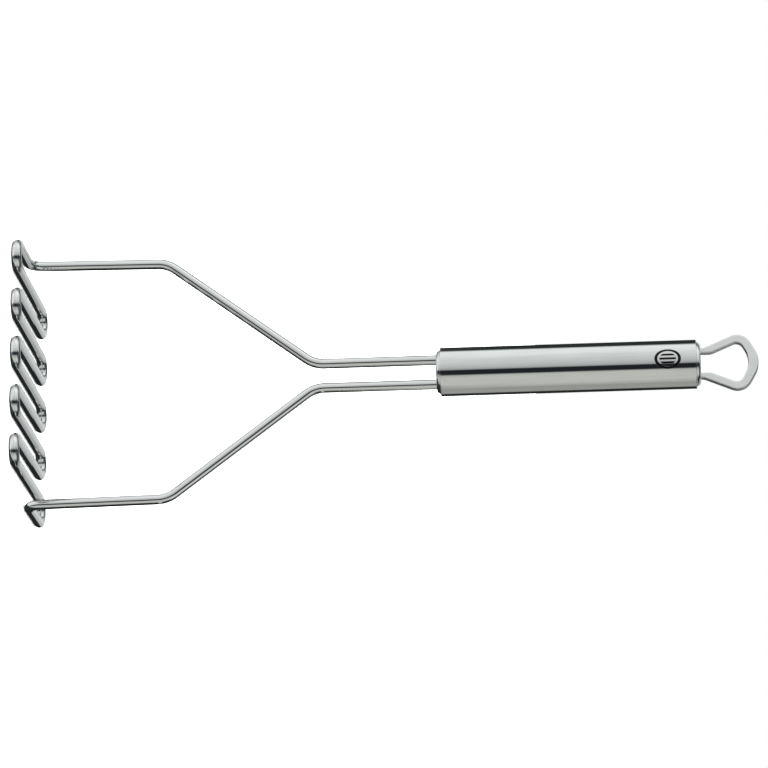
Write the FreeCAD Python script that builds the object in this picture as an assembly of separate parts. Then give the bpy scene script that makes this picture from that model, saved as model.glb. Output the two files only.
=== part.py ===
import FreeCAD, Part
import math
import os

# A wire potato masher in stainless steel. One round wire, bent to shape, makes the mashing head
# and both arms. The arms run up into a tubular handle that is closed by a stamped cap at each
# end, and a flat hanging loop stands on the rear cap. Everything is welded; nothing moves.
#
# Millimetres. The masher stands on its head: +Z runs up along the handle, X across the head's
# runs, Y along them, and the origin is under the middle of the head, where it rests.

Vec = FreeCAD.Vector

# Overall sizes
overall_length = 290.0     # underside of the head to the tip of the hanging loop
wire_d = 4.0               # round wire of the head and arms

# Mashing head: straight runs side by side, joined by U-bends
run_gaps = 10              # gaps between neighbouring runs; even, so that both arms match
run_pitch = 9.8            # centre to centre of two runs
head_depth = 72.0          # over the U-bends, front to back
foot_bend_r = 5.5          # centreline radius where an arm turns into the head

# Arms: nearly upright beside the head, then splayed in to a pair of shanks
shoulder_height = 57.3     # where an arm turns inwards
shoulder_lean = 0.8        # how far an arm leans in on the way up to its shoulder
neck_height = 115.5        # where an arm turns up again beside the other one
arm_bend_r = 12.0          # centreline radius of the shoulder and neck bends

# Handle
handle_length = 100.5
handle_d = 19.2
handle_wall = 1.0
handle_rim_r = 0.3         # rounding of the tube's end edges

# End caps, pressed into the tube and standing a little proud of it
cap_wall = 1.0
cap_skirt = 7.0            # length of the skirt inside the tube
cap_stand = 1.5            # face of the cap beyond the end of the tube
cap_shoulder_r = 1.4
cap_fit = 0.02             # radial gap between skirt and bore
wire_skirt_gap = 0.63      # between the wire and the inside of the skirt
wire_tail = 8.0            # wire behind the inside of the cap's face

# Hanging loop, a flat bar with rounded edges
loop_reach = 24.1          # tip of the loop beyond the end of the tube
loop_thickness = 3.4
loop_edge_r = 0.5
loop_root_width = 2.0      # bar width where it leaves the cap
loop_leg_width = 3.05       # bar width along the legs, measured across the loop
loop_tip_width = 3.95
loop_root_rise = 2.6       # straight foot outside the tube before the legs flare
loop_leg_flare = 22.8      # degrees, legs against the handle's axis
loop_side_slope = 30.5     # degrees, sides of the tip against a cross line
loop_corner_r = 6.0        # outside radius of the two corners
loop_eye_corner_r = 2.8    # inside radius of the two corners
loop_tip_r = 10.0
loop_root_bend_r = 5.0
loop_skirt_gap = 1.34      # between the legs' corners and the inside of the skirt
loop_tail = 5.0            # bar behind the inside of the cap's face

# Welds on the inside of the caps
weld_gap = 0.05            # between a wire or a leg and its hole in the cap
bead_leg = 1.2             # height and width of a fillet weld
bead_crest = 0.3           # width of its top

# Worked out from the sizes above
wire_r = wire_d / 2
head_half_width = run_gaps * run_pitch / 2
head_half_depth = head_depth / 2 - wire_r
handle_rear = overall_length - loop_reach
handle_front = handle_rear - handle_length
handle_bore_r = handle_d / 2 - handle_wall
cap_r = handle_bore_r - cap_fit
cap_bore_r = cap_r - cap_wall
shank_x = cap_bore_r - wire_skirt_gap - wire_r
leg_x = math.sqrt((cap_bore_r - loop_skirt_gap) ** 2 - (loop_thickness / 2) ** 2)
cap_face_back = cap_stand - cap_wall       # inside of a cap's face, beyond the tube's end


def rounded_path(corners, closed=False):
    """Edges of a path through the corners, each given as (point, bend radius)."""
    points = [point for point, radius in corners]
    count = len(corners)
    starts, ends, middles = [], [], []
    for index, (corner, radius) in enumerate(corners):
        if radius == 0 or (not closed and index in (0, count - 1)):
            starts.append(corner)
            ends.append(corner)
            middles.append(None)
            continue
        back = (points[index - 1] - corner).normalize()
        ahead = (points[(index + 1) % count] - corner).normalize()
        half_angle = back.getAngle(ahead) / 2
        cut = radius / math.tan(half_angle)
        inwards = (back + ahead).normalize()
        starts.append(corner + back * cut)
        ends.append(corner + ahead * cut)
        middles.append(corner + inwards * (radius / math.sin(half_angle) - radius))
    edges = []
    for index in range(count):
        if middles[index] is not None:
            edges.append(Part.Arc(starts[index], middles[index], ends[index]).toShape())
        if index == count - 1 and not closed:
            break
        following = starts[(index + 1) % count]
        if ends[index].distanceToPoint(following) > 1e-6:
            edges.append(Part.LineSegment(ends[index], following).toShape())
    return edges


def wire_corners():
    """Corners of the wire's centreline, from the left tail through the head to the right tail."""
    tail_top = handle_front - cap_face_back + wire_tail
    left_arm = [
        (Vec(-shank_x, 0, tail_top), 0),
        (Vec(-shank_x, 0, neck_height), arm_bend_r),
        (Vec(shoulder_lean - head_half_width, 0, shoulder_height), arm_bend_r),
        (Vec(-head_half_width, 0, wire_r), foot_bend_r),
    ]
    head = []
    for gap in range(run_gaps):
        end_y = -head_half_depth if gap % 2 == 0 else head_half_depth
        left_x = -head_half_width + gap * run_pitch
        head.append((Vec(left_x, end_y, wire_r), run_pitch / 2))
        head.append((Vec(left_x + run_pitch, end_y, wire_r), run_pitch / 2))
    right_arm = [(Vec(-point.x, point.y, point.z), radius) for point, radius in reversed(left_arm)]
    return left_arm + head + right_arm


def make_masher_wire():
    spine = Part.Wire(rounded_path(wire_corners()))
    start = Vec(-shank_x, 0, spine.BoundBox.ZMax)
    section = Part.Wire(Part.makeCircle(wire_r, start, Vec(0, 0, 1)))
    return spine.makePipeShell([section], True, False)


def make_handle_tube():
    tube = Part.makeCylinder(handle_d / 2, handle_length, Vec(0, 0, handle_front))
    tube = tube.cut(Part.makeCylinder(handle_bore_r, handle_length, Vec(0, 0, handle_front)))
    rims = [edge for edge in tube.Edges if len(edge.Vertexes) == 1 and edge.Length > 1]
    return tube.makeFillet(handle_rim_r, rims)


def make_cap_blank():
    """A cap without its holes, face up, with the end of the tube at z = 0."""
    inner_shoulder_r = cap_shoulder_r - cap_wall
    section = rounded_path([
        (Vec(0, 0, cap_stand), 0),
        (Vec(cap_r, 0, cap_stand), cap_shoulder_r),
        (Vec(cap_r, 0, -cap_skirt), 0),
        (Vec(cap_bore_r, 0, -cap_skirt), 0),
        (Vec(cap_bore_r, 0, cap_face_back), inner_shoulder_r),
        (Vec(0, 0, cap_face_back), 0),
    ], closed=True)
    return Part.Face(Part.Wire(section)).revolve(Vec(0, 0, 0), Vec(0, 0, 1), 360)


def make_front_cap():
    cap = make_cap_blank()
    cap.rotate(Vec(0, 0, 0), Vec(1, 0, 0), 180)
    cap.translate(Vec(0, 0, handle_front))
    for side in (-1, 1):
        foot = Vec(side * shank_x, 0, handle_front - 2 * cap_stand)
        cap = cap.cut(Part.makeCylinder(wire_r + weld_gap, 4 * cap_stand, foot))
    return cap


def leg_box(margin, low, high, side):
    """A block around one leg of the loop, from low to high, standing off it by the margin."""
    x_low = leg_x - loop_root_width - margin
    width = loop_root_width + 2 * margin
    depth = loop_thickness + 2 * margin
    x_start = x_low if side > 0 else -x_low - width
    return Part.makeBox(width, depth, high - low, Vec(x_start, -depth / 2, low))


def make_rear_cap():
    cap = make_cap_blank()
    cap.translate(Vec(0, 0, handle_rear))
    for side in (-1, 1):
        cap = cap.cut(leg_box(weld_gap, handle_rear - cap_stand, handle_rear + 2 * cap_stand, side))
    return cap


def loop_corner(root_x, root_z, apex_z):
    """Where a leg that flares out from its root meets the side that falls away from the apex."""
    flare = math.tan(math.radians(loop_leg_flare))
    slope = math.tan(math.radians(loop_side_slope))
    corner_z = (apex_z / slope - root_x + root_z * flare) / (flare + 1 / slope)
    return Vec(root_x + (corner_z - root_z) * flare, 0, corner_z)


def make_hanging_loop():
    slope = math.radians(loop_side_slope)
    tip_rise = loop_tip_r * (1 / math.cos(slope) - 1)
    tail_z = handle_rear + cap_face_back - loop_tail
    root_z = handle_rear + loop_root_rise
    apex_z = overall_length + tip_rise
    eye_apex_z = apex_z - loop_tip_width
    corner = loop_corner(leg_x, root_z, apex_z)
    eye_root_x = leg_x - loop_root_width
    # the flared part of a leg is wider than its root, so its inner line starts a little higher
    leg_across = loop_leg_width / math.cos(math.radians(loop_leg_flare))
    flare_rise = (leg_across - loop_root_width) / math.tan(math.radians(loop_leg_flare))
    eye_corner = loop_corner(eye_root_x, root_z + flare_rise, eye_apex_z)
    half = [
        (Vec(leg_x, 0, tail_z), 0),
        (Vec(leg_x, 0, root_z), loop_root_bend_r),
        (corner, loop_corner_r),
    ]
    eye_half = [
        (eye_corner, loop_eye_corner_r),
        (Vec(eye_root_x, 0, root_z + flare_rise), loop_root_bend_r),
        (Vec(eye_root_x, 0, tail_z), 0),
    ]
    outline = half + [(Vec(0, 0, apex_z), loop_tip_r)] + mirrored(half)
    outline += mirrored(eye_half) + [(Vec(0, 0, eye_apex_z), loop_tip_r)] + eye_half
    face = Part.Face(Part.Wire(rounded_path(outline, closed=True)))
    bar = face.extrude(Vec(0, loop_thickness, 0))
    bar.translate(Vec(0, -loop_thickness / 2, 0))
    # every edge that lies in the front or back face and clear of the legs' cut ends
    long_edges = []
    for edge in bar.Edges:
        box = edge.BoundBox
        flat = abs(abs(box.YMin) - loop_thickness / 2) < 1e-6 and box.YLength < 1e-6
        if flat and box.ZMax > tail_z + 1e-6:
            long_edges.append(edge)
    return bar.makeFillet(loop_edge_r, long_edges)


def mirrored(corners):
    return [(Vec(-point.x, point.y, point.z), radius) for point, radius in reversed(corners)]


def make_wire_welds(front_cap):
    """A fillet weld around each wire, on the inside of the front cap's face."""
    face_z = handle_front - cap_face_back
    beads = []
    for side in (-1, 1):
        foot = Vec(side * shank_x, 0, face_z)
        cone = Part.makeCone(wire_r + bead_leg, wire_r + bead_crest, bead_leg, foot)
        bead = cone.cut(Part.makeCylinder(wire_r, bead_leg, foot))
        beads.append(bead.cut(front_cap).Solids[0])
    return Part.makeCompound(beads)


def make_loop_welds(rear_cap, hanging_loop):
    """A fillet weld around each leg of the loop, on the inside of the rear cap's face."""
    face_z = handle_rear + cap_face_back
    beads = []
    for side in (-1, 1):
        pad = leg_box(bead_leg, face_z - bead_leg, face_z, side)
        lower_edges = []
        for edge in pad.Edges:
            if edge.BoundBox.ZMax < face_z - bead_leg + 1e-6:
                lower_edges.append(edge)
        bead = pad.makeChamfer(bead_leg - bead_crest, lower_edges)
        beads.append(bead.cut(hanging_loop).cut(rear_cap).Solids[0])
    return Part.makeCompound(beads)


front_cap = make_front_cap()
rear_cap = make_rear_cap()
hanging_loop = make_hanging_loop()
nodes = {
    "masher_wire": make_masher_wire(),
    "front_cap": front_cap,
    "handle_tube": make_handle_tube(),
    "rear_cap": rear_cap,
    "hanging_loop": hanging_loop,
    "wire_welds": make_wire_welds(front_cap),
    "loop_welds": make_loop_welds(rear_cap, hanging_loop),
}

os.makedirs("parts", exist_ok=True)
for name, shape in nodes.items():
    shape.exportStep("parts/" + name + ".step")
    print(name, "solids", len(shape.Solids), "volume", round(shape.Volume, 1),
          "valid", shape.isValid())
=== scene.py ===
import math

import bpy
from mathutils import Matrix, Quaternion, Vector
from mathutils.geometry import tessellate_polygon


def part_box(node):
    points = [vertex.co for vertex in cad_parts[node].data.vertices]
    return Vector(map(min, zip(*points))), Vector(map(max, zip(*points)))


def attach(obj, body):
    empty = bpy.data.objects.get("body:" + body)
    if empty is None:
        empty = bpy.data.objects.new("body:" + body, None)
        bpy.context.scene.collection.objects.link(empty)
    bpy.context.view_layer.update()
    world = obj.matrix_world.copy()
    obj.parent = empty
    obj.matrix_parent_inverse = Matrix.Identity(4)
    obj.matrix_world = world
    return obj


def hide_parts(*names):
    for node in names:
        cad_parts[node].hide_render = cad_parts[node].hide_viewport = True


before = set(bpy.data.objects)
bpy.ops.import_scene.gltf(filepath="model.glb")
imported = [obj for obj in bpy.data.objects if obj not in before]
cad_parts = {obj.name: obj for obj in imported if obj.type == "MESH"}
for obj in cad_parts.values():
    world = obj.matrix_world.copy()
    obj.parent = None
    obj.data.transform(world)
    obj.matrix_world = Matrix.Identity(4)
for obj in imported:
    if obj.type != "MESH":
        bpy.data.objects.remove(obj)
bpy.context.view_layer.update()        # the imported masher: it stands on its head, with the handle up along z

print("frame loaded:", sorted(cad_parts))

# what the pieces take from the frame, in metres
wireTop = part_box("masher_wire")[1]
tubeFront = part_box("handle_tube")[0].z
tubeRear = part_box("handle_tube")[1].z
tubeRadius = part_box("handle_tube")[1].x
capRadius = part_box("front_cap")[1].x
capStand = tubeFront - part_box("front_cap")[0].z
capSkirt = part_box("front_cap")[1].z - tubeFront
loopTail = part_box("hanging_loop")[0].z
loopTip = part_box("hanging_loop")[1].z
loopThickness = 2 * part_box("hanging_loop")[1].y


# nodes: small helpers that serve the geometry trees and the material trees alike
def addNode(tree, kind, **settings):
    node = tree.nodes.new(kind)
    for key, value in settings.items():
        setattr(node, key, value)
    return node


def feed(tree, socket, value):
    if isinstance(value, bpy.types.NodeSocket):
        tree.links.new(value, socket)
    else:
        socket.default_value = value


def reckon(tree, operation, *values):
    node = addNode(tree, "ShaderNodeMath", operation=operation)
    for socket, value in zip(node.inputs, values):
        feed(tree, socket, value)
    return node.outputs[0]


def joinXyz(tree, x, y, z):
    node = addNode(tree, "ShaderNodeCombineXYZ")
    for socket, value in zip(node.inputs, (x, y, z)):
        feed(tree, socket, value)
    return node.outputs[0]


# meshes: a skin gathers points, their true normals and faces, so that mirror finishes shade cleanly
def newSkin():
    return {"points": [], "normals": [], "faces": []}


def addRing(skin, points, normals):
    first = len(skin["points"])
    skin["points"] += [Vector(p) for p in points]
    skin["normals"] += [Vector(n).normalized() for n in normals]
    return list(range(first, first + len(points)))


def bridgeRings(skin, ringA, ringB):
    count = len(ringA)
    for k in range(count):
        following = (k + 1) % count
        skin["faces"].append((ringA[k], ringA[following], ringB[following], ringB[k]))


def fillFlat(skin, rings, normal):
    # the first ring bounds the face, the others are holes in it
    order = [index for ring in rings for index in ring]
    outlines = [[skin["points"][index] for index in ring] for ring in rings]
    for triangle in tessellate_polygon(outlines):
        corners = [order[k] for k in triangle]
        a, b, c = (skin["points"][index] for index in corners)
        if (b - a).cross(c - a).dot(normal) < 0:
            corners.reverse()
        skin["faces"].append(tuple(corners))


def skinObject(name, skin):
    mesh = bpy.data.meshes.new(name)
    mesh.from_pydata(skin["points"], [], skin["faces"])
    mesh.validate()
    mesh.update()
    # a face whose own normal clearly opposes the true normals is turned round; at a rim they may be square
    flipped = [
        face.index for face in mesh.polygons
        if face.normal.dot(sum((skin["normals"][v] for v in face.vertices), Vector())) < -0.01
    ]
    if flipped:
        faces = [tuple(face.vertices) for face in mesh.polygons]
        for index in flipped:
            faces[index] = tuple(reversed(faces[index]))
        mesh.clear_geometry()
        mesh.from_pydata(skin["points"], [], faces)
        mesh.update()
    mesh.polygons.foreach_set("use_smooth", [True] * len(mesh.polygons))
    mesh.normals_split_custom_set_from_vertices(skin["normals"])
    piece = bpy.data.objects.new(name, mesh)
    bpy.context.scene.collection.objects.link(piece)
    return piece


def roundOff(corners, stepAngle, closed=True):
    # corners are (x, y, radius), counterclockwise; gives (point, outward normal) pairs
    # the first and last corner of an open outline only say where it comes from and goes to
    pairs = []
    count = len(corners)
    for index, (x, y, radius) in enumerate(corners):
        if not closed and index in (0, count - 1):
            continue
        corner = Vector((x, y))
        back = (Vector(corners[index - 1][:2]) - corner).normalized()
        ahead = (Vector(corners[(index + 1) % count][:2]) - corner).normalized()
        halfAngle = back.angle(ahead) / 2
        turn = math.pi - 2 * halfAngle
        leftTurn = 1 if back.cross(ahead) < 0 else -1
        centre = corner + (back + ahead).normalized() * (radius / math.sin(halfAngle))
        spoke = corner + back * (radius / math.tan(halfAngle)) - centre
        steps = max(2, round(turn / stepAngle))
        for k in range(steps + 1):
            arm = spoke.copy()
            arm.rotate(Matrix.Rotation(leftTurn * turn * k / steps, 2))
            pairs.append((centre + arm, arm.normalized() * leftTurn))
    return pairs


def quarterRound(centre, radius, firstAngle, steps):
    # an edge that turns a quarter: (level, inset, and the normal's flat and rising parts) at each step
    turns = [math.radians(firstAngle + 90 * k / steps) for k in range(steps + 1)]
    return [
        (centre + radius * math.sin(turn), radius * (1 - math.cos(turn)), math.cos(turn), math.sin(turn))
        for turn in turns
    ]


def roundOutline(centreX, radius, points):
    pairs = []
    for k in range(points):
        spoke = Vector((math.cos(2 * math.pi * k / points), math.sin(2 * math.pi * k / points)))
        pairs.append((Vector((centreX, 0)) + spoke * radius, spoke))
    return pairs


def barOutline(lowX, highX, halfDepth, radius, stepAngle):
    return roundOff([
        (lowX, -halfDepth, radius), (highX, -halfDepth, radius),
        (highX, halfDepth, radius), (lowX, halfDepth, radius),
    ], stepAngle)


def latheRings(skin, pairs, segments):
    rings = []
    angles = [2 * math.pi * k / segments for k in range(segments)]
    for point, normal in pairs:
        rings.append(addRing(
            skin,
            [(point.x * math.cos(a), point.x * math.sin(a), point.y) for a in angles],
            [(normal.x * math.cos(a), normal.x * math.sin(a), normal.y) for a in angles],
        ))
    for ringA, ringB in zip(rings, rings[1:]):
        bridgeRings(skin, ringA, ringB)
    return rings


# masher wire: one round wire from tail to tail, folded by a geometry node tree
masherWire = {
    "wireDiameter": 0.004,
    "runGaps": 10,
    "shankHalfGap": 0.00495,
    "shoulderHeight": 0.0573,
    "shoulderLean": 0.0008,
    "neckHeight": 0.1155,
    "footBend": 0.0055,
    "armBend": 0.012,
    "bendPoints": 16,
    "sectionPoints": 56,
    "mergeDistance": 0.00002,
    "sharpAngle": math.radians(50),
}


def wireTree():
    tree = bpy.data.node_groups.new("foldedWire", "GeometryNodeTree")
    inputNames = {
        "Float": [
            "wireDiameter", "headHalfWidth", "headHalfDepth", "shankHalfGap", "shoulderHeight",
            "shoulderLean", "neckHeight", "tailHeight", "footBend", "armBend", "mergeDistance",
        ],
        "Int": ["runGaps", "bendPoints", "sectionPoints"],
        "Material": ["finish"],
    }
    identifiers = {}
    for kind, names in inputNames.items():
        for name in names:
            socket = tree.interface.new_socket(name, in_out="INPUT", socket_type="NodeSocket" + kind)
            identifiers[name] = socket.identifier
    tree.interface.new_socket("wire", in_out="OUTPUT", socket_type="NodeSocketGeometry")
    given = addNode(tree, "NodeGroupInput").outputs

    # the line has an arm's corners at either end, and 2 for every gap of the head between them
    armCorners = 4
    cornerCount = reckon(tree, "MULTIPLY_ADD", given["runGaps"], 2.0, 2.0 * armCorners)
    index = addNode(tree, "GeometryNodeInputIndex").outputs[0]
    fromEnd = reckon(tree, "SUBTRACT", reckon(tree, "SUBTRACT", cornerCount, 1.0), index)
    armCorner = reckon(tree, "MINIMUM", index, fromEnd)
    isArm = reckon(tree, "LESS_THAN", armCorner, armCorners - 0.5)
    side = reckon(tree, "SIGN", reckon(tree, "SUBTRACT", index, fromEnd))
    wireRadius = reckon(tree, "MULTIPLY", given["wireDiameter"], 0.5)

    def pick(*values):
        node = addNode(tree, "GeometryNodeIndexSwitch", data_type="FLOAT")
        while len(node.index_switch_items) < len(values):
            node.index_switch_items.new()
        feed(tree, node.inputs["Index"], armCorner)
        for socket, value in zip(node.inputs[1:], values):
            feed(tree, socket, value)
        return node.outputs[0]

    shoulderX = reckon(tree, "SUBTRACT", given["headHalfWidth"], given["shoulderLean"])
    armX = pick(given["shankHalfGap"], given["shankHalfGap"], shoulderX, given["headHalfWidth"])
    armZ = pick(given["tailHeight"], given["neckHeight"], given["shoulderHeight"], wireRadius)
    armPlace = joinXyz(tree, reckon(tree, "MULTIPLY", armX, side), 0.0, armZ)

    headCorner = reckon(tree, "SUBTRACT", index, float(armCorners))
    headWidth = reckon(tree, "MULTIPLY", given["headHalfWidth"], 2.0)
    runPitch = reckon(tree, "DIVIDE", headWidth, given["runGaps"])
    runNumber = reckon(tree, "FLOOR", reckon(tree, "MULTIPLY_ADD", headCorner, 0.5, 0.75))
    gapNumber = reckon(tree, "FLOOR", reckon(tree, "MULTIPLY_ADD", headCorner, 0.5, 0.25))
    isBack = reckon(tree, "MODULO", gapNumber, 2.0)
    endSign = reckon(tree, "MULTIPLY_ADD", reckon(tree, "ROUND", isBack), 2.0, -1.0)
    headX = reckon(tree, "SUBTRACT", reckon(tree, "MULTIPLY", runNumber, runPitch), given["headHalfWidth"])
    headY = reckon(tree, "MULTIPLY", endSign, given["headHalfDepth"])
    headPlace = joinXyz(tree, headX, headY, wireRadius)

    place = addNode(tree, "GeometryNodeSwitch", input_type="VECTOR")
    feed(tree, place.inputs["Switch"], isArm)
    feed(tree, place.inputs["False"], headPlace)
    feed(tree, place.inputs["True"], armPlace)
    armRadius = pick(0.0, given["armBend"], given["armBend"], given["footBend"])
    bend = addNode(tree, "GeometryNodeSwitch", input_type="FLOAT")
    feed(tree, bend.inputs["Switch"], isArm)
    feed(tree, bend.inputs["False"], reckon(tree, "MULTIPLY", runPitch, 0.5))
    feed(tree, bend.inputs["True"], armRadius)

    line = addNode(tree, "GeometryNodeMeshLine")
    feed(tree, line.inputs["Count"], cornerCount)
    move = addNode(tree, "GeometryNodeSetPosition")
    feed(tree, move.inputs["Geometry"], line.outputs[0])
    feed(tree, move.inputs["Position"], place.outputs[0])
    path = addNode(tree, "GeometryNodeMeshToCurve")
    feed(tree, path.inputs["Mesh"], move.outputs[0])
    rounded = addNode(tree, "GeometryNodeFilletCurve", mode="POLY")
    feed(tree, rounded.inputs["Curve"], path.outputs[0])
    feed(tree, rounded.inputs["Count"], given["bendPoints"])
    feed(tree, rounded.inputs["Radius"], bend.outputs[0])

    # two bends meet in each U, so their shared point is merged before the wire is drawn
    edges = addNode(tree, "GeometryNodeCurveToMesh")
    feed(tree, edges.inputs["Curve"], rounded.outputs[0])
    merged = addNode(tree, "GeometryNodeMergeByDistance")
    feed(tree, merged.inputs["Geometry"], edges.outputs[0])
    feed(tree, merged.inputs["Distance"], given["mergeDistance"])
    spine = addNode(tree, "GeometryNodeMeshToCurve")
    feed(tree, spine.inputs["Mesh"], merged.outputs[0])
    along = addNode(tree, "GeometryNodeStoreNamedAttribute", data_type="FLOAT", domain="POINT")
    feed(tree, along.inputs["Geometry"], spine.outputs[0])
    feed(tree, along.inputs["Name"], "alongWire")
    feed(tree, along.inputs["Value"], addNode(tree, "GeometryNodeSplineParameter").outputs["Length"])

    section = addNode(tree, "GeometryNodeCurvePrimitiveCircle", mode="RADIUS")
    feed(tree, section.inputs["Resolution"], given["sectionPoints"])
    feed(tree, section.inputs["Radius"], wireRadius)
    around = addNode(tree, "GeometryNodeStoreNamedAttribute", data_type="FLOAT_VECTOR", domain="POINT")
    feed(tree, around.inputs["Geometry"], section.outputs[0])
    feed(tree, around.inputs["Name"], "aroundWire")
    feed(tree, around.inputs["Value"], addNode(tree, "GeometryNodeInputPosition").outputs[0])

    skin = addNode(tree, "GeometryNodeCurveToMesh")
    feed(tree, skin.inputs["Curve"], along.outputs[0])
    feed(tree, skin.inputs["Profile Curve"], around.outputs[0])
    feed(tree, skin.inputs["Fill Caps"], True)
    real = addNode(tree, "GeometryNodeRealizeInstances")
    feed(tree, real.inputs[0], skin.outputs[0])
    coat = addNode(tree, "GeometryNodeSetMaterial")
    feed(tree, coat.inputs["Geometry"], real.outputs[0])
    feed(tree, coat.inputs["Material"], given["finish"])
    result = addNode(tree, "NodeGroupOutput")
    feed(tree, result.inputs[0], coat.outputs[0])
    return tree, identifiers


def treeToMesh(name, tree, identifiers, values):
    piece = bpy.data.objects.new(name, bpy.data.meshes.new(name + "Seed"))
    bpy.context.scene.collection.objects.link(piece)
    modifier = piece.modifiers.new(name, "NODES")
    modifier.node_group = tree
    for key, identifier in identifiers.items():
        modifier[identifier] = values[key]
    graph = bpy.context.evaluated_depsgraph_get()
    mesh = bpy.data.meshes.new_from_object(piece.evaluated_get(graph), depsgraph=graph)
    piece.modifiers.clear()
    piece.data = mesh
    mesh.name = name
    return piece


def buildMasherWire(finish):
    sizes = dict(masherWire)
    radius = sizes["wireDiameter"] / 2
    sizes["headHalfWidth"] = wireTop.x - radius
    sizes["headHalfDepth"] = wireTop.y - radius
    sizes["tailHeight"] = wireTop.z
    sizes["finish"] = finish
    tree, identifiers = wireTree()
    piece = treeToMesh("masherWire", tree, identifiers, sizes)
    mesh = piece.data
    mesh.polygons.foreach_set("use_smooth", [True] * len(mesh.polygons))
    mesh.set_sharp_from_angle(angle=sizes["sharpAngle"])     # only the cut ends inside the handle
    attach(piece, "root")
    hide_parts("masher_wire")


# handle tube
handleTube = {
    "wall": 0.001,
    "rimRadius": 0.0003,
    "segments": 192,
    "stepAngle": math.radians(12),
}


def buildHandleTube(finish):
    bore = tubeRadius - handleTube["wall"]
    rim = handleTube["rimRadius"]
    skin = newSkin()
    pairs = roundOff([
        (bore, tubeFront, rim), (tubeRadius, tubeFront, rim),
        (tubeRadius, tubeRear, rim), (bore, tubeRear, rim),
    ], handleTube["stepAngle"])
    rings = latheRings(skin, pairs, handleTube["segments"])
    bridgeRings(skin, rings[-1], rings[0])
    piece = skinObject("handleTube", skin)
    piece.data.materials.append(finish)
    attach(piece, "root")
    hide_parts("handle_tube")


# end caps: stamped cups with a rounded shoulder, pierced for what passes through them
endCap = {
    "wall": 0.001,
    "shoulder": 0.0014,
    "skirtEdge": 0.0002,
    "segments": 144,
    "stepAngle": math.radians(7.5),
    "gap": 0.00005,              # round the wire or the bar
    "holeLip": 0.00012,
    "lipSteps": 4,
    "holePoints": 48,
    "slotStep": math.radians(15),
}


def buildCap(name, holes, tubeEnd, outwards, finish):
    # drawn with its face up and the end of the tube at zero, then turned to face outwards
    wall, shoulder, lip = endCap["wall"], endCap["shoulder"], endCap["holeLip"]
    faceBack = capStand - wall
    skin = newSkin()
    pairs = roundOff([
        (0, faceBack, 0),
        (capRadius - wall, faceBack, shoulder - wall),
        (capRadius - wall, -capSkirt, endCap["skirtEdge"]),
        (capRadius, -capSkirt, endCap["skirtEdge"]),
        (capRadius, capStand, shoulder),
        (0, capStand, 0),
    ], endCap["stepAngle"], closed=False)
    rings = latheRings(skin, pairs, endCap["segments"])
    levels = quarterRound(faceBack + lip, lip, -90, endCap["lipSteps"])
    levels += quarterRound(capStand - lip, lip, 0, endCap["lipSteps"])
    innerRims, outerRims = [], []
    for outline in holes:
        wallRings = []
        for level, spread, flat, rise in levels:
            wallRings.append(addRing(
                skin,
                [(*(point + normal * spread), level) for point, normal in outline],
                [(-normal.x * flat, -normal.y * flat, rise) for point, normal in outline],
            ))
        for ringA, ringB in zip(wallRings, wallRings[1:]):
            bridgeRings(skin, ringA, ringB)
        innerRims.append(wallRings[0])
        outerRims.append(wallRings[-1])
    fillFlat(skin, [rings[-1]] + outerRims, Vector((0, 0, 1)))
    fillFlat(skin, [rings[0]] + innerRims, Vector((0, 0, -1)))
    turn = Matrix.Translation((0, 0, tubeEnd))
    if outwards < 0:
        turn = turn @ Matrix.Rotation(math.pi, 4, "X")
    skin["points"] = [turn @ point for point in skin["points"]]
    skin["normals"] = [turn.to_3x3() @ normal for normal in skin["normals"]]
    piece = skinObject(name, skin)
    piece.data.materials.append(finish)
    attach(piece, "root")
    return piece


def buildCaps(finish):
    gap = endCap["gap"]
    wireHoles = [
        roundOutline(side * masherWire["shankHalfGap"], masherWire["wireDiameter"] / 2 + gap,
                     endCap["holePoints"])
        for side in (-1, 1)
    ]
    frontCap = buildCap("frontCap", wireHoles, tubeFront, -1, finish)
    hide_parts("front_cap")
    legOut = hangingLoop["legHalfWidth"]
    legIn = legOut - hangingLoop["rootWidth"]
    halfDepth = loopThickness / 2 + gap
    corner = hangingLoop["edgeRadius"] + gap
    slots = [
        barOutline(low - gap, high + gap, halfDepth, corner, endCap["slotStep"])
        for low, high in ((-legOut, -legIn), (legIn, legOut))
    ]
    rearCap = buildCap("rearCap", slots, tubeRear, 1, finish)
    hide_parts("rear_cap")


# hanging loop: a flat bar bent to a rounded triangle, with soft edges
hangingLoop = {
    "legHalfWidth": 0.006004,
    "rootWidth": 0.002,
    "legWidth": 0.00305,
    "tipWidth": 0.00395,
    "rootRise": 0.0026,
    "legFlare": math.radians(22.8),
    "sideSlope": math.radians(30.5),
    "cornerRadius": 0.006,
    "eyeCornerRadius": 0.0028,
    "tipRadius": 0.01,
    "rootBend": 0.005,
    "stepAngle": math.radians(5),
    "edgeRadius": 0.0005,
    "edgeSteps": 6,
    "tailCorner": 0.00055,       # more than the edge radius, so that the corner outlives the inset
}


def loopCorner(rootX, rootZ, apexZ):
    flare = math.tan(hangingLoop["legFlare"])
    slope = math.tan(hangingLoop["sideSlope"])
    cornerZ = (apexZ / slope - rootX + rootZ * flare) / (flare + 1 / slope)
    return rootX + (cornerZ - rootZ) * flare, cornerZ


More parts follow.
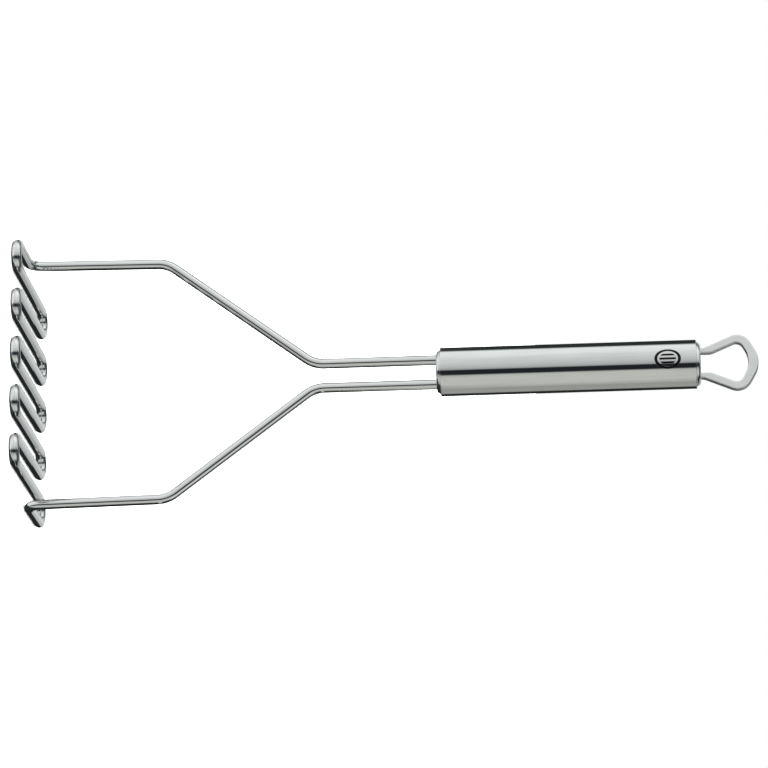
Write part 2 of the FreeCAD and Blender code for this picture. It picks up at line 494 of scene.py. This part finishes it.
def loopOutline():
    loop = hangingLoop
    tipRise = loop["tipRadius"] * (1 / math.cos(loop["sideSlope"]) - 1)
    apexZ = loopTip + tipRise
    eyeApexZ = apexZ - loop["tipWidth"]
    rootZ = tubeRear + loop["rootRise"]
    legOut = loop["legHalfWidth"]
    legIn = legOut - loop["rootWidth"]
    legAcross = loop["legWidth"] / math.cos(loop["legFlare"])
    eyeRootZ = rootZ + (legAcross - loop["rootWidth"]) / math.tan(loop["legFlare"])
    half = [
        (legOut, loopTail, loop["tailCorner"]),
        (legOut, rootZ, loop["rootBend"]),
        (*loopCorner(legOut, rootZ, apexZ), loop["cornerRadius"]),
    ]
    eyeHalf = [
        (*loopCorner(legIn, eyeRootZ, eyeApexZ), loop["eyeCornerRadius"]),
        (legIn, eyeRootZ, loop["rootBend"]),
        (legIn, loopTail, loop["tailCorner"]),
    ]

    def mirrored(corners):
        return [(-x, y, radius) for x, y, radius in reversed(corners)]

    outside = half + [(0, apexZ, loop["tipRadius"])] + mirrored(half)
    inside = mirrored(eyeHalf) + [(0, eyeApexZ, loop["tipRadius"])] + eyeHalf
    return roundOff(outside + inside, loop["stepAngle"])


def buildHangingLoop(finish):
    outline = loopOutline()
    radius, steps = hangingLoop["edgeRadius"], hangingLoop["edgeSteps"]
    edgeCentre = loopThickness / 2 - radius
    levels = quarterRound(-edgeCentre, radius, -90, steps) + quarterRound(edgeCentre, radius, 0, steps)
    skin = newSkin()
    rings = []
    for level, inset, flat, rise in levels:
        rings.append(addRing(
            skin,
            [(point.x - normal.x * inset, level, point.y - normal.y * inset) for point, normal in outline],
            [(normal.x * flat, rise, normal.y * flat) for point, normal in outline],
        ))
    for ringA, ringB in zip(rings, rings[1:]):
        bridgeRings(skin, ringA, ringB)
    fillFlat(skin, [rings[0]], Vector((0, -1, 0)))
    fillFlat(skin, [rings[-1]], Vector((0, 1, 0)))
    piece = skinObject("hangingLoop", skin)
    piece.data.materials.append(finish)
    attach(piece, "root")
    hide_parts("hanging_loop")


# weld beads: one round each wire behind the front cap, one round each leg of the loop behind the rear cap
weldBead = {
    "leg": 0.0012,              # along the cap and up the wire
    "crest": 0.0003,            # width left at the top
    "gap": 0.00002,             # to the wire or the bar
    "fullness": 0.00006,
    "ripplePitch": 0.00052,
    "rippleDepth": 0.00009,
    "rippleLean": 0.7,
    "levels": 12,
    "edgeShare": 0.02,
    "step": 0.00005,
    "wirePoints": 72,
    "barStep": math.radians(10),
}


def evenSteps(pairs, step):
    even = []
    for (here, normal), (following, nextNormal) in zip(pairs, pairs[1:] + pairs[:1]):
        count = max(1, round((following - here).length / step))
        for k in range(count):
            even.append((here.lerp(following, k / count), normal.lerp(nextNormal, k / count).normalized()))
    return even


def layBead(skin, pairs, foot, climb, boreRadius):
    # pairs go round what is welded; the bead climbs it from the foot and stays inside the cap's skirt
    bead = weldBead
    pairs = evenSteps(pairs, bead["step"])
    middle = [point + normal * bead["leg"] / 2 for point, normal in pairs]
    travelled, along = 0.0, []
    for here, following in zip(middle, middle[1:] + middle[:1]):
        along.append(travelled)
        travelled += (following - here).length
    ripples = round(travelled / bead["ripplePitch"])
    between = [k / bead["levels"] for k in range(1, bead["levels"])]
    rows = [(0.0, 0.0, None)]
    for share in [0.0, bead["edgeShare"]] + between + [1 - bead["edgeShare"], 1.0]:
        width = bead["leg"] + (bead["crest"] - bead["leg"]) * share
        rows.append((width - bead["gap"], bead["leg"] * share, share))
    rows.append((0.0, bead["leg"], None))
    rings = []
    for offset, height, share in rows:
        places = []
        for (point, normal), distance in zip(pairs, along):
            swell = 0.0
            if share is not None:
                phase = distance / travelled * ripples + bead["rippleLean"] * share * share
                groove = 1 - abs(math.sin(math.pi * phase))
                swell = math.sin(math.pi * share) * (bead["fullness"] - bead["rippleDepth"] * groove)
            place = point + normal * (bead["gap"] + offset + swell)
            place *= min(1.0, boreRadius / place.length)
            places.append((place.x, place.y, foot + climb * (height + swell)))
        rings.append(addRing(skin, places, [(0, 0, 1)] * len(places)))
    if climb < 0:
        rings.reverse()
    for ringA, ringB in zip(rings, rings[1:] + rings[:1]):
        bridgeRings(skin, ringA, ringB)


def measureNormals(skin):
    sums = [Vector() for point in skin["points"]]
    for face in skin["faces"]:
        a, b, c, d = (skin["points"][index] for index in face)
        for index in face:
            sums[index] += (c - a).cross(d - b)
    skin["normals"] = [total.normalized() for total in sums]


def finishWelds(name, node, skin, finish):
    measureNormals(skin)
    piece = skinObject(name, skin)
    piece.data.materials.append(finish)
    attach(piece, "root")
    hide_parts(node)


def buildWelds(finish):
    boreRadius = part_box("wire_welds")[1].x
    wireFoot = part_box("wire_welds")[0].z
    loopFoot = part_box("loop_welds")[1].z
    wires, legs = newSkin(), newSkin()
    half, edge = loopThickness / 2, hangingLoop["edgeRadius"]
    legOut = hangingLoop["legHalfWidth"]
    legIn = legOut - hangingLoop["rootWidth"]
    for side in (-1, 1):
        wire = roundOutline(side * masherWire["shankHalfGap"], masherWire["wireDiameter"] / 2,
                            weldBead["wirePoints"])
        layBead(wires, wire, wireFoot, 1, boreRadius)
        low, high = sorted((side * legIn, side * legOut))
        bar = barOutline(low, high, half, edge, weldBead["barStep"])
        layBead(legs, bar, loopFoot, -1, boreRadius)
    finishWelds("wireWelds", "wire_welds", wires, finish)
    finishWelds("loopWelds", "loop_welds", legs, finish)


# finishes
def newFinish(name):
    material = bpy.data.materials.new(name)
    material.use_nodes = True
    tree = material.node_tree
    shader = tree.nodes["Principled BSDF"]
    shader.inputs["Metallic"].default_value = 1.0
    return material, tree, shader


def scaled(tree, vector, sizes):
    node = addNode(tree, "ShaderNodeVectorMath", operation="MULTIPLY")
    feed(tree, node.inputs[0], vector)
    feed(tree, node.inputs[1], sizes)
    return node.outputs[0]


def cloud(tree, vector, sizes, detail=2.0):
    # noise between 0 and 1 whose features are about as long as the sizes given for x, y and z, in metres
    node = addNode(tree, "ShaderNodeTexNoise", noise_dimensions="3D")
    feed(tree, node.inputs["Vector"], scaled(tree, vector, [1 / size for size in sizes]))
    feed(tree, node.inputs["Scale"], 1.0)
    feed(tree, node.inputs["Detail"], detail)
    return node.outputs[0]


def drawnOut(sizes):
    across, along = sizes
    return across, across, along


def remap(tree, value, fromRange, toRange=(0.0, 1.0)):
    node = addNode(tree, "ShaderNodeMapRange", interpolation_type="SMOOTHSTEP")
    for socket, given in zip(node.inputs, (value, *fromRange, *toRange)):
        feed(tree, socket, given)
    return node.outputs[0]


def layered(tree, base, *layers):
    # a layer is a mask, and what it adds to the base where the mask is full
    for mask, amount in layers:
        base = reckon(tree, "MULTIPLY_ADD", mask, amount, base)
    return base


def blendColors(tree, share, low, high):
    node = addNode(tree, "ShaderNodeMix", data_type="RGBA")
    feed(tree, node.inputs[0], share)
    feed(tree, node.inputs[6], low)
    feed(tree, node.inputs[7], high)
    return node.outputs[2]


def relief(tree, height, depth, under=None, strength=1.0):
    node = addNode(tree, "ShaderNodeBump")
    feed(tree, node.inputs["Height"], height)
    node.inputs["Strength"].default_value = strength
    node.inputs["Distance"].default_value = depth
    if under is not None:
        feed(tree, node.inputs["Normal"], under)
    return node.outputs[0]


def splitXyz(tree, vector):
    node = addNode(tree, "ShaderNodeSeparateXYZ")
    feed(tree, node.inputs[0], vector)
    return node.outputs


def rootOfSquares(tree, a, b):
    squares = reckon(tree, "MULTIPLY_ADD", a, a, reckon(tree, "MULTIPLY", b, b))
    return reckon(tree, "SQRT", squares)


def readAttribute(tree, name, output):
    return addNode(tree, "ShaderNodeAttribute", attribute_name=name).outputs[output]


def objectPlace(tree):
    return addNode(tree, "ShaderNodeTexCoord").outputs["Object"]


# in a finish, a pair named "...From" is where a mark begins, and where it is full

# drawn wire: lines along its length, dull bend crests, and a rubbed underside where it meets the pot
wireFinish = {
    "bright": (0.83, 0.83, 0.825, 1),
    "dull": (0.72, 0.72, 0.715, 1),
    "roughness": 0.05,
    "drawLine": (0.00012, 0.012),      # across and along the wire
    "lineDepth": 0.0000012,
    "streak": (0.0007, 0.03),
    "wornFrom": (0.35, 0.75),
    "wornDulling": 0.45,
    "wornRoughening": 0.035,
    "smudge": (0.012, 0.009, 0.012),
    "smudgeFrom": (0.45, 0.75),
    "smudgeRoughening": 0.05,
    "crestLength": 0.0045,
    "crestRoughening": 0.03,
    "peelGrain": 0.0005,
    "peelDepth": 0.000004,
    "rubHeight": (0.00015, 0.0005),    # rubbed in full below the first, and not at all above the second
    "rubScratch": (0.0035, 0.00012),   # along and across a scratch
    "scratchFrom": (0.52, 0.68),
    "scratchRange": (0.15, 1.0),
    "scratchRoughening": 0.14,
    "scratchDepth": 0.000004,
}


def wireSteel():
    finish = wireFinish
    material, tree, shader = newFinish("drawnWireSteel")
    around = splitXyz(tree, readAttribute(tree, "aroundWire", "Vector"))
    along = readAttribute(tree, "alongWire", "Fac")
    onWire = joinXyz(tree, around[0], around[1], along)
    place = objectPlace(tree)
    where = splitXyz(tree, place)
    lines = cloud(tree, onWire, drawnOut(finish["drawLine"]), 3.0)
    streaks = cloud(tree, onWire, drawnOut(finish["streak"]))
    worn = remap(tree, streaks, finish["wornFrom"])
    smudges = remap(tree, cloud(tree, place, finish["smudge"], 3.0), finish["smudgeFrom"])
    # the outer side of a bend is stretched, which leaves it slightly pebbled
    fromSide = reckon(tree, "ABSOLUTE", where[1])
    crest = remap(tree, fromSide, (wireTop.y - finish["crestLength"], wireTop.y))
    peel = cloud(tree, place, [finish["peelGrain"]] * 3)
    # rubbing on pans leaves crossing scratches on the lowest half millimetre of each run
    rub = remap(tree, where[2], finish["rubHeight"], (1.0, 0.0))
    longSide, shortSide = finish["rubScratch"]
    rubLines = cloud(tree, place, (longSide, shortSide, longSide), 3.0)
    crossLines = cloud(tree, place, (shortSide, longSide, longSide), 3.0)
    crossed = reckon(tree, "MAXIMUM", rubLines, crossLines)
    crossed = remap(tree, crossed, finish["scratchFrom"], finish["scratchRange"])
    scratches = reckon(tree, "MULTIPLY", rub, crossed)
    shade = reckon(tree, "MAXIMUM", reckon(tree, "MULTIPLY", worn, finish["wornDulling"]), scratches)
    feed(tree, shader.inputs["Base Color"], blendColors(tree, shade, finish["bright"], finish["dull"]))
    rough = layered(
        tree, finish["roughness"], (worn, finish["wornRoughening"]), (smudges, finish["smudgeRoughening"]),
        (crest, finish["crestRoughening"]), (scratches, finish["scratchRoughening"]),
    )
    feed(tree, shader.inputs["Roughness"], rough)
    drawn = relief(tree, lines, finish["lineDepth"])
    pebbled = relief(tree, reckon(tree, "MULTIPLY", peel, crest), finish["peelDepth"], drawn)
    feed(tree, shader.inputs["Normal"], relief(tree, scratches, finish["scratchDepth"], pebbled))
    return material


# polished tube: faint clouding and streaks along its length, and the maker's etched oval
tubeFinish = {
    "bright": (0.83, 0.83, 0.825, 1),
    "clouded": (0.75, 0.755, 0.745, 1),
    "roughness": 0.045,
    "streak": (0.0011, 0.03),          # across and along the tube
    "cloud": (0.01, 0.022),
    "cloudFrom": (0.42, 0.82),
    "cloudShare": 0.6,
    "cloudRoughening": 0.03,
    "hairline": (0.00016, 0.02),
    "hairDepth": 0.0000008,
    "hairRoughening": 0.015,
    "wave": (0.006, 0.045),
    "waveDepth": 0.000009,
    "pitSpacing": 0.009,
    "pitSize": (0.00012, 0.000192),    # to where a pit is darkest, and to its edge
    "pitDarkness": 0.8,
    "rimLength": 0.0015,
    "rimRoughening": 0.05,
}
etchedOval = {
    "height": 0.2546,
    "halfWidth": 0.0036,       # round the tube
    "halfLength": 0.0046,      # along the tube
    "line": 0.0009,
    "barPitch": 0.0016,
    "barWidth": 0.00085,
    "barReach": (0.685, 0.715),          # shares of the oval where the bars begin to end, and end
    "edgeSoftness": 0.00006,
    "ink": (0.018, 0.02, 0.022, 1),
    "roughness": 0.42,
    "depth": 0.00002,
    "strength": 0.5,
}


def ovalMask(tree, where):
    oval = etchedOval
    turn = reckon(tree, "ARCTAN2", where[0], reckon(tree, "MULTIPLY", where[1], -1.0))
    across = reckon(tree, "MULTIPLY", turn, tubeRadius)
    along = reckon(tree, "SUBTRACT", where[2], oval["height"])
    shareAcross = reckon(tree, "DIVIDE", across, oval["halfWidth"])
    shareAlong = reckon(tree, "DIVIDE", along, oval["halfLength"])
    reach = rootOfSquares(tree, shareAlong, shareAcross)
    fromRing = reckon(tree, "ABSOLUTE", reckon(tree, "SUBTRACT", reach, 1.0))
    fromLine = reckon(tree, "MULTIPLY", fromRing, oval["halfWidth"])
    # a bar lies on the oval's axis, and the others follow at an even pitch
    shifted = reckon(tree, "ADD", across, oval["barPitch"] * 4)
    fromBar = reckon(tree, "PINGPONG", shifted, oval["barPitch"] / 2)

    def stroke(distance, width):
        half, soft = width / 2, oval["edgeSoftness"]
        return remap(tree, distance, (half - soft, half + soft), (1.0, 0.0))

    inside = remap(tree, reach, oval["barReach"], (1.0, 0.0))
    bars = reckon(tree, "MULTIPLY", stroke(fromBar, oval["barWidth"]), inside)
    return reckon(tree, "MAXIMUM", stroke(fromLine, oval["line"]), bars)


def tubeSteel():
    finish = tubeFinish
    material, tree, shader = newFinish("polishedTubeSteel")
    place = objectPlace(tree)
    where = splitXyz(tree, place)
    streaks = cloud(tree, place, drawnOut(finish["streak"]), 3.0)
    hairlines = cloud(tree, place, drawnOut(finish["hairline"]))
    waves = cloud(tree, place, drawnOut(finish["wave"]), 1.0)
    clouds = cloud(tree, place, drawnOut(finish["cloud"]), 3.0)
    pits = addNode(tree, "ShaderNodeTexVoronoi", feature="F1")
    feed(tree, pits.inputs["Vector"], place)
    feed(tree, pits.inputs["Scale"], 1 / finish["pitSpacing"])
    pitEdges = [size / finish["pitSpacing"] for size in finish["pitSize"]]
    pitted = remap(tree, pits.outputs["Distance"], pitEdges, (1.0, 0.0))
    fromFront = reckon(tree, "SUBTRACT", where[2], tubeFront)
    fromRear = reckon(tree, "SUBTRACT", tubeRear, where[2])
    rim = remap(tree, reckon(tree, "MINIMUM", fromFront, fromRear), (0.0, finish["rimLength"]), (1.0, 0.0))
    etched = ovalMask(tree, where)
    share = finish["cloudShare"]
    veil = remap(tree, layered(tree, 0.0, (streaks, share), (clouds, share)), finish["cloudFrom"])
    steel = blendColors(tree, veil, finish["bright"], finish["clouded"])
    dark = reckon(tree, "MAXIMUM", etched, reckon(tree, "MULTIPLY", pitted, finish["pitDarkness"]))
    feed(tree, shader.inputs["Base Color"], blendColors(tree, dark, steel, etchedOval["ink"]))
    rough = layered(
        tree, finish["roughness"], (veil, finish["cloudRoughening"]),
        (hairlines, finish["hairRoughening"]), (rim, finish["rimRoughening"]),
    )
    rough = reckon(tree, "MAXIMUM", rough, reckon(tree, "MULTIPLY", dark, etchedOval["roughness"]))
    feed(tree, shader.inputs["Roughness"], rough)
    wavy = relief(tree, waves, finish["waveDepth"])
    haired = relief(tree, hairlines, finish["hairDepth"], wavy)
    sunk = reckon(tree, "MULTIPLY", etched, -1.0)
    sunk = relief(tree, sunk, etchedOval["depth"], haired, etchedOval["strength"])
    feed(tree, shader.inputs["Normal"], sunk)
    return material


# stamped caps: turned rings on the face, slight draw marks over the shoulder
capFinish = {
    "bright": (0.84, 0.84, 0.835, 1),
    "dull": (0.74, 0.74, 0.735, 1),
    "roughness": 0.06,
    "ringPitch": 0.00035,
    "ringDrift": 0.00004,              # how far a ring wanders for each radian round the cap
    "ringDepth": 0.0000012,
    "pressMark": 0.0012,
    "markDepth": 0.000003,
    "dullFrom": (0.4, 0.65),
    "dullRoughening": 0.04,
    "finger": 0.004,
    "fingerRoughening": 0.04,
}


def capSteel():
    finish = capFinish
    material, tree, shader = newFinish("stampedCapSteel")
    place = objectPlace(tree)
    where = splitXyz(tree, place)
    fromAxis = rootOfSquares(tree, where[0], where[1])
    turn = reckon(tree, "ARCTAN2", where[1], where[0])
    drift = reckon(tree, "MULTIPLY", turn, finish["ringDrift"])
    pitch = finish["ringPitch"]
    rings = cloud(tree, joinXyz(tree, fromAxis, where[2], drift), (pitch, pitch * 3, pitch), 3.0)
    marks = cloud(tree, place, [finish["pressMark"]] * 3, 3.0)
    fingers = cloud(tree, place, [finish["finger"]] * 3)
    veil = remap(tree, layered(tree, 0.0, (rings, 0.5), (marks, 0.5)), finish["dullFrom"])
    feed(tree, shader.inputs["Base Color"], blendColors(tree, veil, finish["bright"], finish["dull"]))
    rough = layered(
        tree, finish["roughness"], (veil, finish["dullRoughening"]), (fingers, finish["fingerRoughening"]),
    )
    feed(tree, shader.inputs["Roughness"], rough)
    turned = relief(tree, rings, finish["ringDepth"])
    feed(tree, shader.inputs["Normal"], relief(tree, marks, finish["markDepth"], turned))
    return material


# tumbled loop: an even satin grain on the faces, smoothed rounded edges carrying a painted dark shade line
# broken by mottle, and coarser walls left by the punch
loopFinish = {
    "satin": (0.97, 0.97, 0.965, 1),
    "shadow": (0.91, 0.91, 0.905, 1),
    # painted shade: the darker colour of the dark line painted along the rounded edges
    "edgeRubAndPaintedShade": (0.72, 0.72, 0.715, 1),
    "sheared": (0.9, 0.9, 0.895, 1),
    "roughness": 0.27,
    "shadowFrom": (0.35, 0.65),
    "shadowRoughening": 0.08,
    "edgeSmoothing": 0.15,
    "edgeFrom": (0.0, 0.4),            # shares of the edge radius, in from the face
    "wallFrom": (0.8, 1.3),
    "wallRoughening": 0.3,
    "mottle": (0.0035, 0.005),
    "edgeRubAndShadeFrom": (0.3, 0.6),
    "edgeRubAndShadeRange": (0.5, 1.0),
    "grain": 0.00022,
    "grainDepth": 0.000006,
    "scratch": (0.00018, 0.006),
    "scratchFrom": (0.64, 0.74),
    "scratchRoughening": 0.06,
    "scratchDepth": 0.000003,
}


def loopSteel():
    finish = loopFinish
    material, tree, shader = newFinish("tumbledLoopSteel")
    place = objectPlace(tree)
    where = splitXyz(tree, place)
    grain = cloud(tree, place, [finish["grain"]] * 3, 4.0)
    mottle = cloud(tree, place, drawnOut(finish["mottle"]), 3.0)
    scored = remap(tree, cloud(tree, place, drawnOut(finish["scratch"])), finish["scratchFrom"])
    fromFace = reckon(tree, "SUBTRACT", loopThickness / 2, reckon(tree, "ABSOLUTE", where[1]))
    edge = hangingLoop["edgeRadius"]
    onEdge = remap(tree, fromFace, [edge * share for share in finish["edgeFrom"]])
    onWall = remap(tree, fromFace, [edge * share for share in finish["wallFrom"]])
    # painted shade: a dark line painted along the rounded edges, broken up by the mottle; the same mask also
    # makes these edges smoother
    edgeRubAndPaintedShade = reckon(tree, "MULTIPLY", onEdge, remap(tree, mottle, finish["edgeRubAndShadeFrom"], finish["edgeRubAndShadeRange"]))
    edgeRubAndPaintedShade = reckon(tree, "MULTIPLY", edgeRubAndPaintedShade, reckon(tree, "SUBTRACT", 1.0, onWall))
    veil = remap(tree, layered(tree, 0.0, (mottle, 0.5), (grain, 0.5)), finish["shadowFrom"])
    steel = blendColors(tree, veil, finish["satin"], finish["shadow"])
    steel = blendColors(tree, edgeRubAndPaintedShade, steel, finish["edgeRubAndPaintedShade"])
    feed(tree, shader.inputs["Base Color"], blendColors(tree, onWall, steel, finish["sheared"]))
    rough = layered(
        tree, finish["roughness"], (veil, finish["shadowRoughening"]),
        (scored, finish["scratchRoughening"]), (edgeRubAndPaintedShade, -finish["edgeSmoothing"]),
        (onWall, finish["wallRoughening"]),
    )
    feed(tree, shader.inputs["Roughness"], rough)
    grained = relief(tree, grain, finish["grainDepth"])
    feed(tree, shader.inputs["Normal"], relief(tree, scored, -finish["scratchDepth"], grained))
    return material


# weld metal: dull, with patches of straw and blue heat tint
weldFinish = {
    "metal": (0.56, 0.55, 0.54, 1),
    "straw": (0.50, 0.37, 0.20, 1),
    "blue": (0.16, 0.19, 0.30, 1),
    "patch": 0.0011,
    "strawFrom": (0.38, 0.55),
    "blueFrom": (0.55, 0.72),
    "roughness": 0.34,
    "spatter": 0.0003,
    "spatterRoughening": 0.25,
    "spatterDepth": 0.00002,
    "spatterStrength": 0.8,
}


def weldSteel():
    finish = weldFinish
    material, tree, shader = newFinish("weldMetal")
    place = objectPlace(tree)
    patches = cloud(tree, place, [finish["patch"]] * 3, 3.0)
    spatter = cloud(tree, place, [finish["spatter"]] * 3, 3.0)
    strawed = blendColors(tree, remap(tree, patches, finish["strawFrom"]), finish["metal"], finish["straw"])
    tinted = blendColors(tree, remap(tree, patches, finish["blueFrom"]), strawed, finish["blue"])
    feed(tree, shader.inputs["Base Color"], tinted)
    rough = layered(tree, finish["roughness"], (spatter, finish["spatterRoughening"]))
    feed(tree, shader.inputs["Roughness"], rough)
    pebbled = relief(tree, spatter, finish["spatterDepth"], strength=finish["spatterStrength"])
    feed(tree, shader.inputs["Normal"], pebbled)
    return material


buildMasherWire(wireSteel())
print("masher wire folded")
buildHandleTube(tubeSteel())
print("handle tube turned and etched")
buildCaps(capSteel())
print("caps stamped")
buildHangingLoop(loopSteel())
print("hanging loop bent")
buildWelds(weldSteel())
print("weld beads laid")


# studio: softboxes and black flags stand round the masher, and light only what reflects them
# each light is (bearing, brightness, tint); bearings are degrees from the camera, growing towards +x
studio = {
    "frontBearing": math.radians(-74.4),
    "tints": {
        "cool": (0.965, 1.0, 1.0), "warm": (0.975, 1.0, 0.955),
        "ink": (0.85, 1.0, 1.2), "slate": (0.85, 1.05, 1.05),
    },
    "rings": [      # from the floor up; all but the first begin at an elevation, in degrees, and fade in
        {"lights": [
            (-180, 0.03, "slate"), (-155, 0.04, "slate"), (-140, 0.9, "cool"), (-20, 0.85, "cool"),
            (-12, 0.1, "ink"), (20, 0.15, "ink"), (33, 0.6, "warm"), (55, 0.5, "warm"),
            (68, 0.05, "slate"), (180, 0.03, "slate")]},
        {"begins": -42, "fade": 6, "lights": [
            (-180, 0.03, "slate"), (-158, 0.05, "slate"), (-148, 0.5, "cool"), (-125, 0.48, "cool"),
            (-112, 0.68, "cool"), (-95, 0.88, "cool"), (-75, 0.93, "cool"), (-40, 0.76, "cool"),
            (-20, 0.58, "cool"), (-11, 0.35, "cool"), (-6, 0.02, "ink"), (9, 0.02, "ink"),
            (16, 0.4, "warm"), (45, 0.66, "warm"), (60, 0.52, "warm"), (68, 0.25, "warm"),
            (76, 0.02, "slate"), (180, 0.02, "slate")]},
        {"begins": -3.7, "fade": 0.3, "lights": [
            (-180, 0.03, "slate"), (-118, 0.03, "slate"), (-112, 0.6, "cool"), (-104, 0.98, "cool"),
            (-80, 0.93, "cool"), (-60, 0.78, "cool"), (-40, 0.69, "cool"), (-25, 0.6, "cool"),
            (-17, 0.52, "cool"), (-10, 0.4, "cool"), (-6, 0.02, "ink"), (14, 0.018, "ink"),
            (19, 0.5, "warm"), (26, 0.59, "warm"), (66, 0.59, "warm"), (78, 0.5, "warm"),
            (92, 0.36, "warm"), (124, 0.38, "warm"), (131, 0.02, "slate"), (180, 0.02, "slate")]},
        {"begins": 3.5, "fade": 1.5, "lights": [
            (-180, 0.72, "cool"), (-150, 0.7, "cool"), (-138, 0.25, "cool"), (-116, 0.3, "cool"),
            (-103, 0.8, "cool"), (-88, 1.15, "cool"), (-70, 0.9, "cool"), (-40, 0.78, "cool"),
            (-20, 0.6, "cool"), (-11, 0.3, "cool"), (-5, 0.02, "ink"), (10, 0.02, "ink"),
            (19, 0.5, "warm"), (50, 0.65, "warm"), (62, 0.38, "warm"), (73, 0.04, "slate"),
            (116, 0.02, "slate"), (136, 0.3, "cool"), (160, 0.62, "cool"), (176, 0.72, "cool")]},
        {"begins": 22, "fade": 4, "lights": [
            (-180, 0.2, "slate"), (-165, 0.35, "cool"), (-152, 0.7, "cool"), (-140, 0.12, "slate"),
            (-127, 0.12, "slate"), (-103, 0.8, "cool"), (-88, 1.1, "cool"), (-60, 0.88, "cool"),
            (-30, 0.68, "cool"), (-14, 0.5, "cool"), (-6, 0.04, "ink"), (12, 0.05, "ink"),
            (28, 0.55, "warm"), (45, 0.78, "warm"), (62, 0.68, "warm"), (76, 0.25, "slate"),
            (88, 0.02, "slate"), (105, 0.03, "slate"), (125, 0.3, "cool"), (155, 0.55, "cool"),
            (168, 0.5, "cool"), (177, 0.2, "slate")]},
        {"begins": 48, "fade": 6, "lights": [
            (-180, 0.04, "slate"), (-140, 0.06, "slate"), (-115, 0.6, "cool"), (-50, 0.75, "cool"),
            (-25, 0.3, "cool"), (-10, 0.03, "ink"), (10, 0.03, "ink"), (25, 0.12, "slate"),
            (90, 0.12, "slate"), (120, 0.03, "slate"), (180, 0.04, "slate")]},
    ],
    "floorReach": 6.0,
    "floorPaint": (0.9, 0.9, 0.9, 1),
    "floorRoughness": 0.9,
    "overheadPower": 9.0,
    "overheadSpread": math.radians(120),
}


def ringOfLights(tree, share, ring):
    ramp = addNode(tree, "ShaderNodeValToRGB")
    feed(tree, ramp.inputs[0], share)
    elements = ramp.color_ramp.elements
    while len(elements) < len(ring["lights"]):
        elements.new(0.5)
    for element, (bearing, light, tint) in zip(elements, ring["lights"]):
        element.position = bearing / 360 + 0.5
        element.color = (*(light * part for part in studio["tints"][tint]), 1)
    return ramp.outputs[0]


def buildWorld():
    world = bpy.data.worlds.new("studio")
    bpy.context.scene.world = world
    world.use_nodes = True
    tree = world.node_tree
    tree.nodes.clear()
    direction = splitXyz(tree, addNode(tree, "ShaderNodeTexCoord").outputs["Generated"])
    bearing = reckon(tree, "ARCTAN2", direction[1], direction[0])
    bearing = reckon(tree, "SUBTRACT", bearing, studio["frontBearing"])
    share = reckon(tree, "FRACT", reckon(tree, "MULTIPLY_ADD", bearing, 1 / (2 * math.pi), 0.5))
    elevation = reckon(tree, "ARCSINE", direction[2])
    lowest, *others = studio["rings"]
    light = ringOfLights(tree, share, lowest)
    for ring in others:
        begins, fade = math.radians(ring["begins"]), math.radians(ring["fade"])
        inside = remap(tree, elevation, (begins - fade, begins + fade))
        light = blendColors(tree, inside, light, ringOfLights(tree, share, ring))
    reflected = addNode(tree, "ShaderNodeBackground")
    feed(tree, reflected.inputs["Color"], light)
    backdrop = addNode(tree, "ShaderNodeBackground")
    backdrop.inputs["Color"].default_value = (1, 1, 1, 1)
    mix = addNode(tree, "ShaderNodeMixShader")
    feed(tree, mix.inputs[0], addNode(tree, "ShaderNodeLightPath").outputs["Is Camera Ray"])
    feed(tree, mix.inputs[1], reflected.outputs[0])
    feed(tree, mix.inputs[2], backdrop.outputs[0])
    feed(tree, addNode(tree, "ShaderNodeOutputWorld").inputs["Surface"], mix.outputs[0])


def buildFloor():
    reach = studio["floorReach"]
    mesh = bpy.data.meshes.new("floor")
    corners = [(-reach, -reach, 0), (reach, -reach, 0), (reach, reach, 0), (-reach, reach, 0)]
    mesh.from_pydata(corners, [], [(0, 1, 2, 3)])
    paint = bpy.data.materials.new("paleFloor")
    paint.use_nodes = True
    shader = paint.node_tree.nodes["Principled BSDF"]
    shader.inputs["Base Color"].default_value = studio["floorPaint"]
    shader.inputs["Roughness"].default_value = studio["floorRoughness"]
    mesh.materials.append(paint)
    floor = bpy.data.objects.new("floor", mesh)
    bpy.context.scene.collection.objects.link(floor)
    floor.visible_glossy = False


def buildOverhead():
    data = bpy.data.lights.new("overheadSoftbox", "SUN")
    data.energy = studio["overheadPower"]
    data.angle = studio["overheadSpread"]
    overhead = bpy.data.objects.new("overheadSoftbox", data)
    bpy.context.scene.collection.objects.link(overhead)
    overhead.visible_glossy = False


# camera
cameraPlace = {
    "target": Vector((0.0041, 0, 0.1430)),
    "distance": 1.6284,
    "azimuth": math.radians(15.60),
    "elevation": math.radians(3.96),
    "roll": math.radians(88.22),
    "lens": 194.0,
    "sensor": 36,
    "nearest": 0.05,
}


def buildCamera():
    data = bpy.data.cameras.new("camera")
    data.lens = cameraPlace["lens"]
    data.sensor_width = cameraPlace["sensor"]
    data.clip_start = cameraPlace["nearest"]
    camera = bpy.data.objects.new("camera", data)
    bpy.context.scene.collection.objects.link(camera)
    azimuth, elevation = cameraPlace["azimuth"], cameraPlace["elevation"]
    back = Vector((
        math.sin(azimuth) * math.cos(elevation),
        -math.cos(azimuth) * math.cos(elevation),
        math.sin(elevation),
    ))
    camera.location = cameraPlace["target"] + back * cameraPlace["distance"]
    camera.rotation_mode = "QUATERNION"
    level = (-back).to_track_quat("-Z", "Y")
    camera.rotation_quaternion = Quaternion(back, cameraPlace["roll"]) @ level
    bpy.context.scene.camera = camera


buildWorld()
buildFloor()
buildOverhead()
buildCamera()
scene = bpy.context.scene
scene.view_settings.view_transform = "Standard"
scene.view_settings.look = "None"
print("studio ready")
